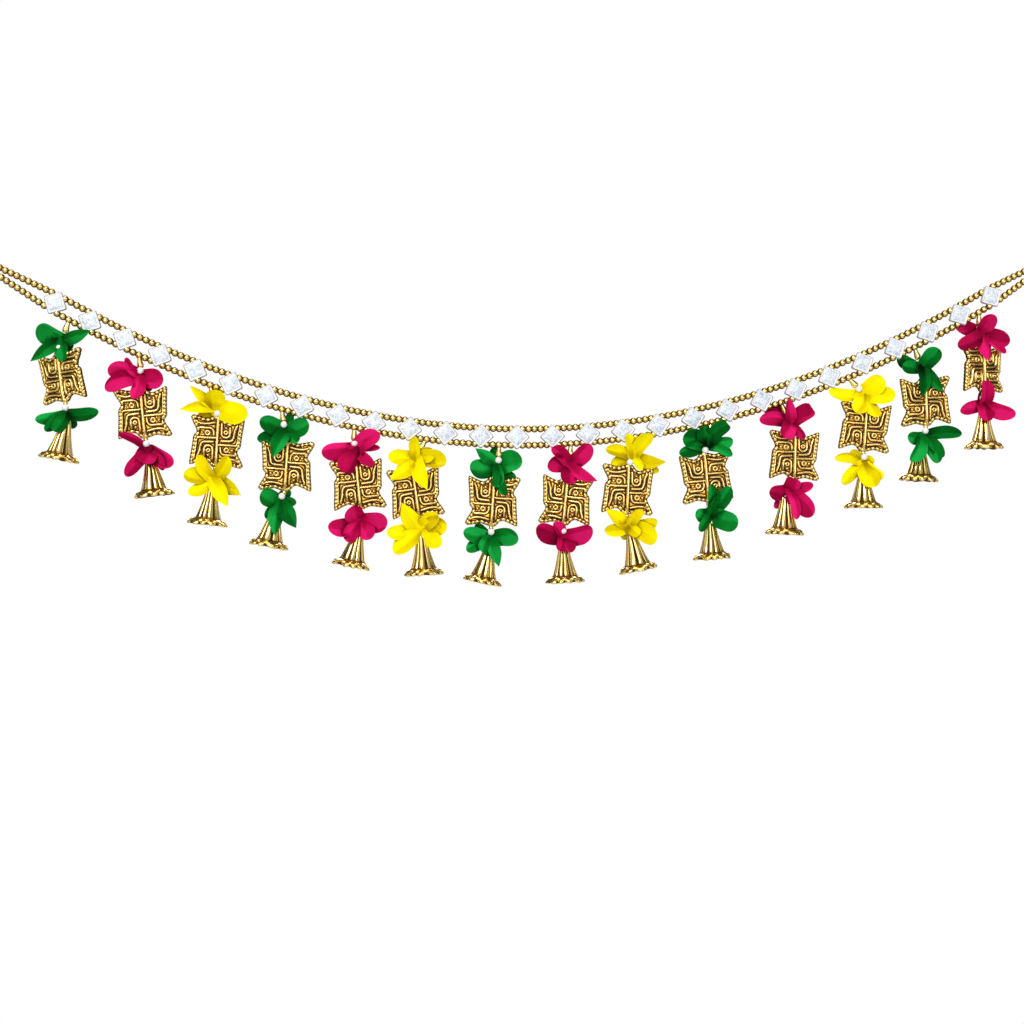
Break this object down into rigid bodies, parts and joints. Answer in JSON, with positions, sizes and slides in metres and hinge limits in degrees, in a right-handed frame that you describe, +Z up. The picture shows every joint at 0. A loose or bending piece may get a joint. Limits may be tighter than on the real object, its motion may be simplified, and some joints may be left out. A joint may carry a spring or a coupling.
{
  "type": "toran door hanging",
  "caption": "Festive toran of gold beads and square foil-backed stones, with drops of cloth flowers, pearls, puffed gold charms and fluted bells.",
  "frame": {"origin": "inside of the left hanging loop's far end, where a nail or hook carries it", "axes": "+X along the hanging to its right end, +Z up, -Y the front"},
  "size_m": [1.0112, 0.0372, 0.315],
  "materials": {
    "gold": "metallised antique gold with dark recesses",
    "stone": "clear faceted stone on crinkled silver foil",
    "pearl": "white imitation pearl lustre",
    "petal_green": "velvety flocked cloth",
    "petal_magenta": "velvety flocked cloth",
    "petal_yellow": "velvety flocked cloth",
    "loop_cord": "twisted golden thread"
  },
  "bodies": {
    "root": {"band": "gold", "loop_left": "loop_cord", "loop_right": "loop_cord", "flower_top_01": "petal_green", "charm_01": "gold", "flower_low_01": "petal_green", "bell_01": "gold", "flower_top_02": "petal_magenta", "charm_02": "gold", "flower_low_02": "petal_magenta", "bell_02": "gold", "flower_top_03": "petal_yellow", "charm_03": "gold", "flower_low_03": "petal_yellow", "bell_03": "gold", "flower_top_04": "petal_green", "charm_04": "gold", "flower_low_04": "petal_green", "bell_04": "gold", "flower_top_05": "petal_magenta", "charm_05": "gold", "flower_low_05": "petal_magenta", "bell_05": "gold", "flower_top_06": "petal_yellow", "charm_06": "gold", "flower_low_06": "petal_yellow", "bell_06": "gold", "flower_top_07": "petal_green", "charm_07": "gold", "flower_low_07": "petal_green", "bell_07": "gold", "flower_top_08": "petal_magenta", "charm_08": "gold", "flower_low_08": "petal_magenta", "bell_08": "gold", "flower_top_09": "petal_yellow", "charm_09": "gold", "flower_low_09": "petal_yellow", "bell_09": "gold", "flower_top_10": "petal_green", "charm_10": "gold", "flower_low_10": "petal_green", "bell_10": "gold", "flower_top_11": "petal_magenta", "charm_11": "gold", "flower_low_11": "petal_magenta", "bell_11": "gold", "flower_top_12": "petal_yellow", "charm_12": "gold", "flower_low_12": "petal_yellow", "bell_12": "gold", "flower_top_13": "petal_green", "charm_13": "gold", "flower_low_13": "petal_green", "bell_13": "gold", "flower_top_14": "petal_magenta", "charm_14": "gold", "flower_low_14": "petal_magenta", "bell_14": "gold"}
  },
  "joints": []
}
